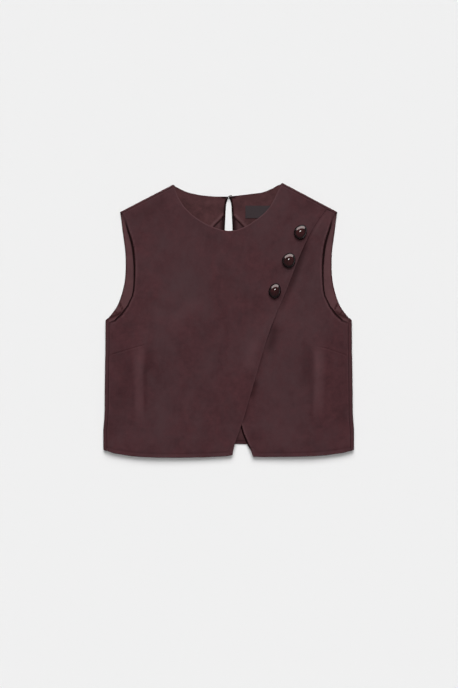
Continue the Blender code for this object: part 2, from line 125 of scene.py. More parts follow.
def smoothRim(points, step):
    # The outline with a point every step: curves between its corners, and straight where it runs far
    count = len(points)
    straight = 4  # a segment this many times its neighbour's length stays straight
    sharp = [cornerAt(points, n) for n in range(count)]
    found = []
    for n in range(count):
        start, end = points[n], points[(n + 1) % count]
        before, after = points[n - 1], points[(n + 2) % count]
        length = (end - start).length
        if sharp[n] or length > straight * (start - before).length:
            before = start
        if sharp[(n + 1) % count] or length > straight * (after - end).length:
            after = end
        parts = max(1, round(length / step))
        for part in range(parts):
            t = part / parts
            leave, arrive = (end - before) / 2, (after - start) / 2
            found.append(
                start * (2 * t**3 - 3 * t**2 + 1)
                + leave * (t**3 - 2 * t**2 + t)
                + end * (3 * t**2 - 2 * t**3)
                + arrive * (t**3 - t**2)
            )
    return found


rimParts = 4  # places looked up between two points of an outline


def rimTree(rim):
    # Finds the nearest place on an outline
    tree = KDTree(len(rim) * rimParts)
    for n, point in enumerate(rim):
        after = rim[(n + 1) % len(rim)]
        for part in range(rimParts):
            spot = point.lerp(after, part / rimParts)
            tree.insert(spot.to_2d().to_3d(), n * rimParts + part)
    tree.balance()
    return tree


def noCurl(x, y):
    return 0.0


class Form:
    # A node's upper face: its outline, let out where an edge curls down, and its height at a place

    def __init__(self, nodeName, curlShare=noCurl, letOut=0.0, step=3 * mm):
        bm = mergedCopy(nodeName)
        faces = upperFaces(bm)
        rim = smoothRim(rimOf(faces), step)
        bmesh.ops.delete(bm, geom=[face for face in bm.faces if face not in faces], context="FACES")
        self.tree = BVHTree.FromBMesh(bm)
        bm.free()
        self.shares = [curlShare(point.x, point.y) for point in rim]
        turn = math.copysign(1.0, sum(a.x * b.y - b.x * a.y for a, b in zip(rim, rim[1:])))
        self.rim = []
        for n, point in enumerate(rim):
            along = (rim[(n + 1) % len(rim)] - rim[n - 1]).to_2d().normalized()
            out = Vector((along.y, -along.x, 0)) * turn
            self.rim.append(point + out * letOut * self.shares[n])
        self.edge = rimTree(self.rim)

    def height(self, x, y):
        above, middle = 0.2, 0.009
        hit = self.tree.ray_cast(Vector((x, y, above)), Vector((0, 0, -1)))[0]
        if hit is None:
            hit = self.tree.find_nearest(Vector((x, y, middle)))[0]
        return hit.z

    def edgeAt(self, x, y):
        # The distance to the edge, and how much that edge curls down
        _, index, distance = self.edge.find(Vector((x, y, 0)))
        return distance, self.shares[index // rimParts]


# Making a wall of cloth

def cutAlong(bm, faces, spot, way):
    # An upright cut through some faces; points closer to it than the snap move onto it
    snap = 6e-5
    geom = {item for face in faces for item in (face, *face.edges, *face.verts)}
    bmesh.ops.bisect_plane(bm, geom=list(geom), dist=snap, plane_co=(*spot, 0), plane_no=(*way, 0))


def gridPlaces(low, high, step):
    count = max(1, math.ceil((high - low) / step))
    return [between(low, high, (n + 0.5) / count) for n in range(count)]


def flatSheet(rim, step, insets=(), bands=()):
    # A flat sheet from an outline, cut into small cells, finer in the bands: (axis, low, high, step)
    bm = bmesh.new()
    face = bm.faces.new([bm.verts.new((point.x, point.y, 0)) for point in rim])
    face.normal_update()
    if face.normal.z < 0:
        face.normal_flip()
    for inset in insets:
        bmesh.ops.inset_region(
            bm, faces=[face], thickness=inset, use_boundary=True, use_even_offset=True
        )
    xs, ys = [p.x for p in rim], [p.y for p in rim]
    places = {"y": gridPlaces(min(ys), max(ys), step), "x": gridPlaces(min(xs), max(xs), step)}
    for axis, low, high, fine in bands:
        kept = [p for p in places[axis] if not low < p < high]
        places[axis] = sorted(kept + gridPlaces(low, high, fine))
    for y in places["y"]:
        cutAlong(bm, bm.faces, (0, y), (0, 1))
    back = step + 8 * mm  # how far left of a cut its faces may reach
    for x in places["x"]:
        near = [f for f in bm.faces if f.calc_center_bounds().x > x - back]
        cutAlong(bm, near, (x, 0), (1, 0))
    return bm


def fineEdges(bm, form, low, high):
    # Smaller cells where the edge curls down, between two distances from it
    near = set()
    for vert in bm.verts:
        distance, curls = form.edgeAt(vert.co.x, vert.co.y)
        if curls > 0.02 and low < distance < high:
            near.add(vert)
    edges = [edge for edge in bm.edges if edge.verts[0] in near and edge.verts[1] in near]
    bmesh.ops.subdivide_edges(bm, edges=edges, cuts=2, use_grid_fill=True)


def tidyCells(bm, closest=4e-5):
    # Merges points that the cuts left close together, and splits the many-sided cells
    bmesh.ops.remove_doubles(bm, verts=bm.verts, dist=closest)
    many = [face for face in bm.faces if len(face.verts) > 4]
    bmesh.ops.triangulate(bm, faces=many)


def doubled(bm, place, napAt=None):
    # Gives the sheet its thickness: place(x, y, side) says where each point of the two faces goes
    toneLayer = bm.verts.layers.float.new("tone")
    napLayer = bm.verts.layers.float.new("nap")
    under = list(bm.verts)
    made = bmesh.ops.extrude_face_region(bm, geom=bm.faces[:])
    over = [item for item in made["geom"] if isinstance(item, bmesh.types.BMVert)]
    for side, verts in ((-1, under), (1, over)):
        for vert in verts:
            x, y = vert.co.x, vert.co.y
            vert.co, vert[toneLayer] = place(x, y, side)
            vert[napLayer] = napAt(x, y) if napAt else 0.0
    bmesh.ops.recalc_face_normals(bm, faces=bm.faces)


def pieceFrom(bm, name, material, slotName, replaced):
    # An object that rides on the part's one body in place of a solid
    mesh = bpy.data.meshes.new(name)
    bm.to_mesh(mesh)
    bm.free()
    mesh.shade_smooth()
    mesh.set_sharp_from_angle(angle=math.radians(60))
    mesh.materials.append(material)
    piece = bpy.data.objects.new(name, mesh)
    bpy.context.scene.collection.objects.link(piece)
    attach(piece, "root")
    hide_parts(replaced)
    say(f"{name}, {len(mesh.polygons)} faces")
    return piece


# Shader node groups that more than one material uses

def newGroup(name, inputs, outputs):
    group = bpy.data.node_groups.new(name, "ShaderNodeTree")
    for label, kind, value in inputs:
        socket = group.interface.new_socket(name=label, in_out="INPUT", socket_type=kind)
        if value is not None:
            socket.default_value = value
    for label, kind in outputs:
        group.interface.new_socket(name=label, in_out="OUTPUT", socket_type=kind)
    return group, group.nodes.new("NodeGroupInput"), group.nodes.new("NodeGroupOutput")


def mathNode(tree, operation, one, two=0.0):
    node = tree.nodes.new("ShaderNodeMath")
    node.operation = operation
    for socket, value in zip(node.inputs, (one, two)):
        if isinstance(value, (int, float)):
            socket.default_value = value
        else:
            tree.links.new(value, socket)
    return node.outputs[0]


def textureNode(tree, kind, vector, scale, **settings):
    node = tree.nodes.new(kind)
    tree.links.new(vector, node.inputs["Vector"])
    if isinstance(scale, (int, float)):
        node.inputs["Scale"].default_value = scale
    else:
        tree.links.new(scale, node.inputs["Scale"])
    for label, value in settings.items():
        node.inputs[label].default_value = value
    return node


cloudLook = {
    # Two layers of patches: times the scale, share, detail, roughness, distortion
    "layers": ((1.0, 0.56, 3.0, 0.55, 0.6), (4.3, 0.44, 5.0, 0.68, 0.3)),
    "range": (0.34, 0.66),
}


def makeCloudGroup():
    # Soft patches of light and dark at two sizes, as in a nubuck hide
    look = cloudLook
    inputs = [("Vector", "NodeSocketVector", None), ("Scale", "NodeSocketFloat", 20.0)]
    group, given, out = newGroup("hideClouds", inputs, [("Mask", "NodeSocketFloat")])
    vector, scale = given.outputs["Vector"], given.outputs["Scale"]
    total = None
    for times, share, detail, roughness, distortion in look["layers"]:
        size = mathNode(group, "MULTIPLY", scale, times)
        patches = textureNode(
            group, "ShaderNodeTexNoise", vector, size,
            Detail=detail, Roughness=roughness, Distortion=distortion,
        )
        part = mathNode(group, "MULTIPLY", patches.outputs[0], share)
        total = part if total is None else mathNode(group, "ADD", total, part)
    spread = group.nodes.new("ShaderNodeMapRange")
    spread.inputs["From Min"].default_value, spread.inputs["From Max"].default_value = look["range"]
    group.links.new(total, spread.inputs["Value"])
    group.links.new(spread.outputs[0], out.inputs["Mask"])
    return group


grainLook = {"napTimes": 2.2, "napDetail": 5.0, "napRoughness": 0.7, "napShare": 0.6}


def makeGrainGroup():
    # Fine leather grain: small irregular cells with a nap over them
    look = grainLook
    inputs = [("Vector", "NodeSocketVector", None), ("Scale", "NodeSocketFloat", 900.0)]
    group, given, out = newGroup("leatherGrain", inputs, [("Height", "NodeSocketFloat")])
    vector, scale = given.outputs["Vector"], given.outputs["Scale"]
    cells = group.nodes.new("ShaderNodeTexVoronoi")
    cells.feature = "SMOOTH_F1"
    group.links.new(vector, cells.inputs["Vector"])
    group.links.new(scale, cells.inputs["Scale"])
    napScale = mathNode(group, "MULTIPLY", scale, look["napTimes"])
    nap = textureNode(
        group, "ShaderNodeTexNoise", vector, napScale,
        Detail=look["napDetail"], Roughness=look["napRoughness"],
    )
    rough = mathNode(group, "MULTIPLY", nap.outputs[0], look["napShare"])
    whole = mathNode(group, "ADD", cells.outputs["Distance"], rough)
    group.links.new(whole, out.inputs["Height"])
    return group


def makeWeaveGroup():
    # Crossing threads, for satin, lining and the woven label
    inputs = [("Vector", "NodeSocketVector", None), ("Scale", "NodeSocketFloat", 1200.0)]
    group, given, out = newGroup("threadWeave", inputs, [("Height", "NodeSocketFloat")])
    vector, scale = given.outputs["Vector"], given.outputs["Scale"]
    waves = []
    for direction, share in (("X", 0.5), ("Y", 1.0)):
        wave = group.nodes.new("ShaderNodeTexWave")
        wave.bands_direction = direction
        wave.inputs["Distortion"].default_value = 0.6
        wave.inputs["Detail"].default_value = 1.0
        group.links.new(vector, wave.inputs["Vector"])
        group.links.new(mathNode(group, "MULTIPLY", scale, share), wave.inputs["Scale"])
        waves.append(wave.outputs["Fac"])
    group.links.new(mathNode(group, "MULTIPLY", *waves), out.inputs["Height"])
    return group


cloudGroup = makeCloudGroup()
grainGroup = makeGrainGroup()
weaveGroup = makeWeaveGroup()


# Materials

def newMaterial(name, roughness, specular):
    material = bpy.data.materials.new(name)
    material.use_nodes = True
    shader = material.node_tree.nodes["Principled BSDF"]
    shader.inputs["Roughness"].default_value = roughness
    shader.inputs["Specular IOR Level"].default_value = specular
    return material, material.node_tree, shader


def placed(tree, group, vector, scale):
    node = tree.nodes.new("ShaderNodeGroup")
    node.node_tree = group
    tree.links.new(vector, node.inputs["Vector"])
    node.inputs["Scale"].default_value = scale
    return node.outputs[0]


def objectSpot(tree):
    return tree.nodes.new("ShaderNodeTexCoord").outputs["Object"]


def mixColours(tree, factor, one, two):
    node = tree.nodes.new("ShaderNodeMix")
    node.data_type = "RGBA"
    tree.links.new(factor, node.inputs[0])
    for socket, value in ((node.inputs[6], one), (node.inputs[7], two)):
        if isinstance(value, tuple):
            socket.default_value = (*value, 1.0)
        else:
            tree.links.new(value, socket)
    return node.outputs[2]


def ranged(tree, value, fromLow, fromHigh, toLow, toHigh):
    node = tree.nodes.new("ShaderNodeMapRange")
    tree.links.new(value, node.inputs["Value"])
    for label, number in zip(
        ("From Min", "From Max", "To Min", "To Max"), (fromLow, fromHigh, toLow, toHigh)
    ):
        node.inputs[label].default_value = number
    return node.outputs[0]


def bumped(tree, shader, height, strength, distance):
    node = tree.nodes.new("ShaderNodeBump")
    node.inputs["Strength"].default_value = strength
    node.inputs["Distance"].default_value = distance
    tree.links.new(height, node.inputs["Height"])
    tree.links.new(node.outputs[0], shader.inputs["Normal"])


def attribute(tree, name):
    node = tree.nodes.new("ShaderNodeAttribute")
    node.attribute_name = name
    return node.outputs["Fac"]


leatherLook = {
    "dark": (0.0430, 0.0160, 0.0190),
    "light": (0.0700, 0.0252, 0.0292),
    "greyed": (0.0600, 0.0305, 0.0342),  # where the nap lies the other way
    "paintedHighlight": (0.160, 0.078, 0.086),  # painted highlight: lighter tops of ridges and lit lines along turned edges
    "seamsAndPaintedShade": (0.009, 0.0022, 0.0026),  # seams, and painted shade at the feet of folds and in shadow lines under edges
    "cloudScale": 30.0,
    "napScale": 21.0,
    "napStretch": (1.0, 0.62, 1.0),  # the nap runs down the vest
    "napRange": (0.2, 1.0, 0.0, 0.62),
    "grainScale": 1150.0,
    "bump": (0.30, 0.25 * mm),
    "roughness": 0.71,
    "specular": 0.11,
}


def toned(tree, colour, shader, roughness):
    # Mixes in painted highlight where the tone is above 0, and seam colour with painted shade where it
    # is below, and roughens the darkest places
    tone = attribute(tree, "tone")
    colour = mixColours(tree, ranged(tree, tone, 0.0, 1.0, 0.0, 1.0), colour, leatherLook["paintedHighlight"])
    colour = mixColours(tree, ranged(tree, tone, 0.0, -1.0, 0.0, 1.0), colour, leatherLook["seamsAndPaintedShade"])
    tree.links.new(colour, shader.inputs["Base Color"])
    tree.links.new(ranged(tree, tone, -0.8, 0.0, 1.0, roughness), shader.inputs["Roughness"])


def makeLeather():
    look = leatherLook
    material, tree, shader = newMaterial("nubuckLeather", look["roughness"], look["specular"])
    spot = objectSpot(tree)
    stretched = tree.nodes.new("ShaderNodeMapping")
    stretched.inputs["Scale"].default_value = look["napStretch"]
    tree.links.new(spot, stretched.inputs["Vector"])
    clouds = placed(tree, cloudGroup, spot, look["cloudScale"])
    grain = placed(tree, grainGroup, spot, look["grainScale"])
    nap = placed(tree, cloudGroup, stretched.outputs[0], look["napScale"])
    colour = mixColours(tree, clouds, look["dark"], look["light"])
    # Where the nap lies greyer: a little everywhere, and more in the listed patches
    greyed = mathNode(tree, "ADD", ranged(tree, nap, *look["napRange"]), attribute(tree, "nap"))
    colour = mixColours(tree, greyed, colour, look["greyed"])
    toned(tree, colour, shader, look["roughness"])
    bumped(tree, shader, grain, *look["bump"])
    return material


satinLook = {
    "dark": (0.0370, 0.0112, 0.0128),
    "light": (0.0690, 0.0236, 0.0262),
    "roughness": 0.56,
    "specular": 0.2,
    "cloudScale": 44.0,
    "threads": 900.0,
}
liningLook = {
    "dark": (0.0400, 0.0145, 0.0165),
    "light": (0.0640, 0.0250, 0.0280),
    "roughness": 0.6,
    "specular": 0.2,
    "cloudScale": 30.0,
    "threads": 800.0,
}


clothBump = (0.15, 0.1 * mm)


def makeCloth(name, look):
    material, tree, shader = newMaterial(name, look["roughness"], look["specular"])
    spot = objectSpot(tree)
    clouds = placed(tree, cloudGroup, spot, look["cloudScale"])
    toned(tree, mixColours(tree, clouds, look["dark"], look["light"]), shader, look["roughness"])
    bumped(tree, shader, placed(tree, weaveGroup, spot, look["threads"]), *clothBump)
    return material


labelLook = {
    "dark": (0.025, 0.018, 0.0205),
    "light": (0.041, 0.029, 0.0335),
    "roughness": 0.72,
    "specular": 0.3,
    "threads": 1500.0,
    "bump": (0.5, 0.15 * mm),
}
cordLook = {
    "dark": (0.010, 0.004, 0.005),
    "light": (0.035, 0.015, 0.017),
    "roughness": 0.6,
    "specular": 0.4,
    "threads": 1800.0,
    "bump": (0.5, 0.2 * mm),
}


def makeThreads(name, look):
    # Small woven or twisted things: the label and the nape's cord
    material, tree, shader = newMaterial(name, look["roughness"], look["specular"])
    threads = placed(tree, weaveGroup, objectSpot(tree), look["threads"])
    colour = mixColours(tree, threads, look["dark"], look["light"])
    tree.links.new(colour, shader.inputs["Base Color"])
    bumped(tree, shader, threads, *look["bump"])
    return material


glossLook = {
    "dark": (0.009, 0.0018, 0.0020),
    "light": (0.044, 0.0088, 0.0094),
    "rim": (0.0018, 0.0006, 0.0007),
    "cloudScale": 70.0,
    "rippleScale": 90.0,
    "ripple": (0.12, 0.8 * mm),
    "coatRoughness": 0.03,
}


def makeGloss(name, roughness, specular, coat):
    look = glossLook
    material, tree, shader = newMaterial(name, roughness, specular)
    spot = objectSpot(tree)
    clouds = placed(tree, cloudGroup, spot, look["cloudScale"])
    colour = mixColours(tree, clouds, look["dark"], look["light"])
    colour = mixColours(tree, attribute(tree, "rim"), colour, look["rim"])
    tree.links.new(colour, shader.inputs["Base Color"])
    shader.inputs["Coat Weight"].default_value = coat
    shader.inputs["Coat Roughness"].default_value = look["coatRoughness"]
    ripple = textureNode(tree, "ShaderNodeTexNoise", spot, look["rippleScale"], Detail=2.0)
    bumped(tree, shader, ripple.outputs[0], *look["ripple"])
    return material


leather = makeLeather()
satin = makeCloth("facingSatin", satinLook)
lining = makeCloth("liningCloth", liningLook)
labelCloth = makeThreads("wovenLabel", labelLook)
cord = makeThreads("loopCord", cordLook)
gloss = makeGloss("pebbleGloss", roughness=0.07, specular=0.65, coat=0.45)
dullGloss = makeGloss("napeGloss", roughness=0.36, specular=0.2, coat=0.0)


# The two leather fronts

fronts = {
    "step": 2.6 * mm,
    "wall": 1.6 * mm,
    "edgeRound": 0.7 * mm,
    "edgeRoll": 0.28 * mm,  # the turned edge stands up this much
    "edgeRollPlace": (1.5 * mm, 1.2 * mm),  # its distance from the edge, and half width
    "edgeLight": (0.9 * mm, 0.8 * mm, 0.12),  # the painted highlight line along it: distance, half width, tone
    "insets": [0.25 * mm, 0.45 * mm, 1.1 * mm],
    "calmWidth": 18.0 * mm,  # the folds die out this far from the edge
    "lowerCalmWidth": 4.0 * mm,  # and their tones on the lower front
    "hemLine": 7.0 * mm,  # the hem's fold line above its edge
    "hemLineWidth": 1.3 * mm,
    "hemDepth": 0.45 * mm,
    # painted shade in the hem's fold line, which is also pressed in as a groove
    "hemTone": 0.12,
    "hemBand": (-250 * mm, -228 * mm),
    "hemTop": -0.2345,
    "hemHalf": 0.216,
    "darts": {
        "left": ((-0.2205, -0.0650), (-0.1686, -0.0490), (-0.1416, -0.0418)),
        "right": ((0.2205, -0.0662), (0.1788, -0.0517), (0.1536, -0.0454)),
    },
    "dartDepth": 0.40 * mm,
    "dartWidth": 0.9 * mm,
    "dartSwell": 0.45,
    "dartTone": 0.12,
    "dartLine": 1.1 * mm,
    "dartCuts": (-3.0, -2.0, -1.2, -0.6, 0.0, 0.6, 1.2, 2.0, 3.0),
    "dartReach": 7.0 * mm,
    # The armholes' edges, and the lower front's edge at the notch, curl down to the back
    "letOut": 2.8 * mm,
    "curlWidth": 3.6 * mm,
    "curlDrop": 3.4 * mm,
    "curlCells": (1.2 * mm, 6.5 * mm),
    "armholeEnds": (0.163, -0.008, 0.189),  # innermost, lowest and highest place
    "notchEnds": (0.0455, -0.236, -0.170),  # rightmost, lowest and highest place
    "notchCurl": 1.1,
    # The painted shadow line outside a curled edge and the painted highlight line inside it: width,
    # softness, tone
    "curlLine": (3.1 * mm, 1.1 * mm, 1.15),
    "curlLight": (4.4 * mm, 1.0 * mm, 0.20),
    # Where the armhole's painted shadow line is thicker: middle, half height, how much
    "thicker": ((0.128, 0.045, 1.5 * mm), (0.010, 0.012, 1.3 * mm)),
    "neckHalf": 0.1,
    "neckLow": 0.15,
    # painted highlight along the front neckline's edge
    "neckLight": 0.11,
    # The slanting edge thins out towards the front beneath it
    "slant": (
        (0.0068, -0.2423), (0.0111, -0.2216), (0.0266, -0.1769), (0.0482, -0.1028), (0.0665, -0.0400),
        (0.0809, 0.0005), (0.1042, 0.0550), (0.1259, 0.1118), (0.1490, 0.1609), (0.1790, 0.2020),
    ),
    "slantEnds": (-0.225, 0.203),
    "slantWidth": 6.0 * mm,
    "slantDrop": 1.0 * mm,
    # painted highlight along the slanting edge: half width, tone
    "slantLight": (1.5 * mm, 0.16),
    "foldReach": 2.2,  # half widths from its middle at which a fold ends
    "foldEnds": 0.35,  # share of its length over which each end dies out
    # Soft folds: start, end, half width, how flat their tops are, rise, and tone: painted highlight on
    # ridges, painted shade in troughs; flat ones darken shoulders and sides
    "folds": (
        ((-0.1640, -0.030), (-0.1590, -0.200), 9.0 * mm, 3.0, 1.3 * mm, 0.20),
        ((-0.1530, -0.045), (-0.1505, -0.088), 4.5 * mm, 2.0, 0.5 * mm, 0.08),
        ((0.1645, -0.030), (0.1600, -0.192), 10.0 * mm, 3.0, 1.3 * mm, 0.19),
        ((0.1560, -0.046), (0.1560, -0.100), 5.0 * mm, 2.0, 0.4 * mm, 0.09),
        ((-0.1410, -0.030), (-0.1430, -0.118), 7.0 * mm, 2.0, -1.2 * mm, -0.12),
        ((-0.1490, -0.060), (-0.1480, -0.190), 3.0 * mm, 2.0, -0.5 * mm, -0.12),
        ((0.1400, -0.034), (0.1385, -0.150), 7.5 * mm, 2.0, -1.2 * mm, -0.13),
        ((0.1480, -0.100), (0.1470, -0.200), 3.5 * mm, 2.0, -0.4 * mm, -0.08),
        ((-0.1860, -0.060), (-0.1830, -0.200), 9.0 * mm, 2.0, -0.7 * mm, -0.10),
        ((0.1830, -0.060), (0.1810, -0.190), 8.0 * mm, 2.0, -0.7 * mm, -0.08),
        ((-0.1200, -0.030), (-0.0400, 0.0450), 16.0 * mm, 2.0, 1.0 * mm, 0.05),
        ((-0.1500, 0.0350), (-0.0900, 0.0100), 10.0 * mm, 2.0, -0.8 * mm, -0.05),
        ((0.1500, 0.0300), (0.1180, 0.0000), 9.0 * mm, 2.0, -0.6 * mm, -0.04),
        ((-0.0800, -0.120), (-0.0650, -0.225), 12.0 * mm, 2.0, 0.8 * mm, 0.03),
        ((0.0950, -0.130), (0.0850, -0.230), 10.0 * mm, 2.0, 0.7 * mm, 0.03),
        ((-0.1960, -0.110), (-0.1920, -0.225), 12.0 * mm, 2.0, -0.5 * mm, -0.08),
        ((0.1960, -0.100), (0.1930, -0.220), 12.0 * mm, 2.0, -0.5 * mm, -0.08),
        ((-0.1100, 0.1900), (-0.1350, 0.1050), 10.0 * mm, 2.0, -0.6 * mm, -0.05),
        ((-0.0200, 0.1300), (0.0350, 0.0600), 16.0 * mm, 2.0, 0.8 * mm, 0.04),
        ((0.1500, 0.1250), (0.1450, 0.0550), 8.0 * mm, 2.0, -0.5 * mm, -0.04),
        ((-0.1900, 0.1900), (-0.1050, 0.2350), 28.0 * mm, 2.0, 0.0, -0.24),
        ((0.1000, 0.2350), (0.1850, 0.1900), 24.0 * mm, 2.0, 0.0, -0.10),
        ((0.2070, 0.0000), (0.2070, -0.230), 15.0 * mm, 2.0, 0.0, -0.04),
        ((-0.2070, 0.0000), (-0.2070, -0.230), 13.0 * mm, 2.0, 0.0, -0.08),
    ),
    # Light beside the slanting edge on the upper front, and shade beside it on the lower one
    "upperShades": (
        ((0.1150, 0.0900), (0.0960, 0.0420), 6.0 * mm, 2.0, 0.5 * mm, 0.13),
        ((0.1270, 0.1300), (0.1120, 0.0850), 4.0 * mm, 2.0, 0.3 * mm, 0.07),
        ((0.0540, -0.0250), (0.0300, -0.1000), 13.0 * mm, 2.0, 0.6 * mm, 0.12),
        ((0.0700, 0.0000), (0.0600, -0.0350), 5.0 * mm, 2.0, 0.4 * mm, 0.08),
        ((0.1820, 0.2060), (0.1290, 0.1200), 1.8 * mm, 2.0, 0.0, 0.04),
    ),
    "lowerShades": (
        ((0.1500, 0.1720), (0.1040, 0.0400), 6.5 * mm, 2.0, -0.4 * mm, -0.55),
        ((0.1180, 0.0800), (0.0900, 0.0100), 5.5 * mm, 2.0, -0.3 * mm, -0.25),
        ((0.0870, 0.0020), (0.0700, -0.0680), 9.5 * mm, 2.0, -0.5 * mm, -0.46),
        ((0.0640, -0.0450), (0.0480, -0.1100), 4.0 * mm, 2.0, 0.0, -0.30),
        ((0.0505, -0.1020), (0.0400, -0.1480), 5.0 * mm, 2.0, -0.3 * mm, -0.46),
        ((0.0370, -0.1450), (0.0240, -0.1880), 4.5 * mm, 2.0, -0.2 * mm, -0.34),
        ((0.1830, 0.2060), (0.1300, 0.1200), 2.0 * mm, 2.0, 0.0, 0.12),
    ),
    # Where the nap lies greyer, or redder: centre, half sizes, amount
    "naps": (
        ((-0.075, 0.075), (0.055, 0.090), 0.38),
        ((-0.115, -0.130), (0.024, 0.090), 0.34),
        ((-0.045, -0.085), (0.030, 0.070), 0.22),
        ((0.100, -0.130), (0.036, 0.085), 0.30),
        ((0.135, 0.085), (0.030, 0.080), 0.34),
        ((0.060, 0.170), (0.040, 0.050), 0.26),
        ((0.035, -0.040), (0.026, 0.050), 0.24),
        ((-0.195, -0.060), (0.035, 0.080), -0.34),
        ((-0.165, 0.050), (0.022, 0.060), -0.20),
        ((-0.012, 0.060), (0.030, 0.090), -0.20),
        ((-0.075, -0.010), (0.030, 0.040), -0.16),
        ((0.195, -0.090), (0.030, 0.090), -0.30),
        ((0.020, -0.120), (0.025, 0.060), -0.22),
    ),
    "waveSize": 46.0 * mm,
    "waveRise": 0.5 * mm,
}


def napAt(x, y):
    # How much greyer, or redder, the nap is at a place
    total = 0.0
    for (middleX, middleY), (wide, high), amount in fronts["naps"]:
        total += amount * bell((x - middleX) / wide) * bell((y - middleY) / high)
    return total


def roundDrop(distance, radius):
    # How far a rounded edge falls below the face, a distance in from it
    short = max(radius - distance, 0.0)
    return radius - math.sqrt(max(radius * radius - short * short, 0.0))


def dartShape(x, y):
    # The seam of a bust dart: a fine groove between two slight swells, dying out at its tip
    rise, tone = 0.0, 0.0
    for path in fronts["darts"].values():
        left, right = min(p[0] for p in path), max(p[0] for p in path)
        if not left - 10 * mm < x < right + 12 * mm or abs(y - path[1][1]) > 30 * mm:
            continue
        away, along = lineDistance(x, y, path)
        strength = fade((1.02 - along) / 0.3)
        swell = fronts["dartSwell"] * bell((away - 3 * mm) / (2 * mm))
        rise += strength * fronts["dartDepth"] * (swell - bell(away / fronts["dartWidth"]))
        tone -= fronts["dartTone"] * strength * bell(away / fronts["dartLine"])
    return rise, tone


def softFolds(x, y, folds):
    # How much all the folds raise a place, and how much painted highlight or painted shade they add to
    # it
    rise, tone = 0.0, 0.0
    ends = fronts["foldEnds"]
    for start, end, width, flatness, height, light in folds:
        reach = fronts["foldReach"] * width
        if abs(x - (start[0] + end[0]) / 2) > reach + abs(start[0] - end[0]) / 2:
            continue
        away, along = lineDistance(x, y, (start, end))
        if away < reach:
            size = math.exp(-((away / width) ** flatness))
            size *= fade(along / ends) * fade((1 - along) / ends)
            rise += height * size
            tone += light * size
    return rise, tone


def hemTree(rim):
    # Finds the nearest place on the outline's hem
    points = [p for p in rim if p.y < fronts["hemTop"] and abs(p.x) < fronts["hemHalf"]]
    parts = 3
    tree = KDTree(len(points) * parts)
    for n, point in enumerate(points):
        after = points[min(n + 1, len(points) - 1)]
        if (after - point).length > 20 * mm:
            after = point
        for part in range(parts):
            tree.insert(point.lerp(after, part / parts).to_2d().to_3d(), n * parts + part)
    tree.balance()
    return tree


def armholeShare(x, y):
    # How much the edge curls down: along the armholes, and not at their two ends
    inner, low, high = fronts["armholeEnds"]
    if abs(x) < inner:
        return 0.0
    return fade((y - low) / (10 * mm)) * fade((high - y) / (30 * mm))


def notchShare(x, y):
    # The same for the lower front, which also curls at the notch
    right, low, high = fronts["notchEnds"]
    if 0 < x < right and y < high:
        return fronts["notchCurl"] * fade((high - y) / (20 * mm)) * fade((y - low) / (14 * mm))
    return armholeShare(x, y)


def slantShare(x, y, edge):
    # 1 along the slanting edge, and 0 at its two ends
    if edge > 12 * mm or lineDistance(x, y, fronts["slant"])[0] > edge + 2.5 * mm:
        return 0.0
    low, high = fronts["slantEnds"]
    return fade((y - low) / (20 * mm)) * fade((high - y) / (10 * mm))


def neckShare(x, y):
    # 1 along the front neckline
    if y < fronts["neckLow"]:
        return 0.0
    return fade((fronts["neckHalf"] - abs(x)) / (10 * mm))


def curlTone(x, y, edge, curls):
    # The painted shadow line outside a curled edge, and the painted highlight line inside it
    width, soft, dark = fronts["curlLine"]
    place, lightWidth, light = fronts["curlLight"]
    thick = 0.0
    if abs(x) > 0.15:
        thick = sum(more * bell((y - middle) / high) for middle, high, more in fronts["thicker"])
    tone = min(curls, 1.0) * light * bell((edge - thick - place) / lightWidth)
    return tone - curls * dark * fade((width + thick - edge) / soft)


def edgeLight(x, y, edge, curls, slant):
    # The painted highlight line along a turned edge, and along the slanting one
    place, width, light = fronts["edgeLight"]
    light *= (1 - min(curls, 1.0)) * (1 - slant)
    light += fronts["neckLight"] * neckShare(x, y)
    slantWidth, slantLight = fronts["slantLight"]
    return light * bell((edge - place) / width) + slantLight * slant * bell(edge / slantWidth)


def frontSheet(form):
    # The flat sheet of a front, with small cells at its hem, its curled edges and its darts
    step = fronts["step"]
    bm = flatSheet(form.rim, step, fronts["insets"], [("y", *fronts["hemBand"], step / 2)])
    fineEdges(bm, form, *fronts["curlCells"])
    for path in fronts["darts"].values():
        (ax, ay), (bx, by) = path[0], path[-1]
        length = math.dist(path[0], path[-1])
        way = ((ay - by) / length, (bx - ax) / length)
        for shift in fronts["dartCuts"]:
            centres = [(f, f.calc_center_bounds().to_2d()) for f in bm.faces]
            near = [f for f, spot in centres if lineDistance(*spot, path)[0] < fronts["dartReach"]]
            if near:
                cutAlong(bm, near, (bx + way[0] * shift * mm, by + way[1] * shift * mm), way)
    tidyCells(bm)
    return bm


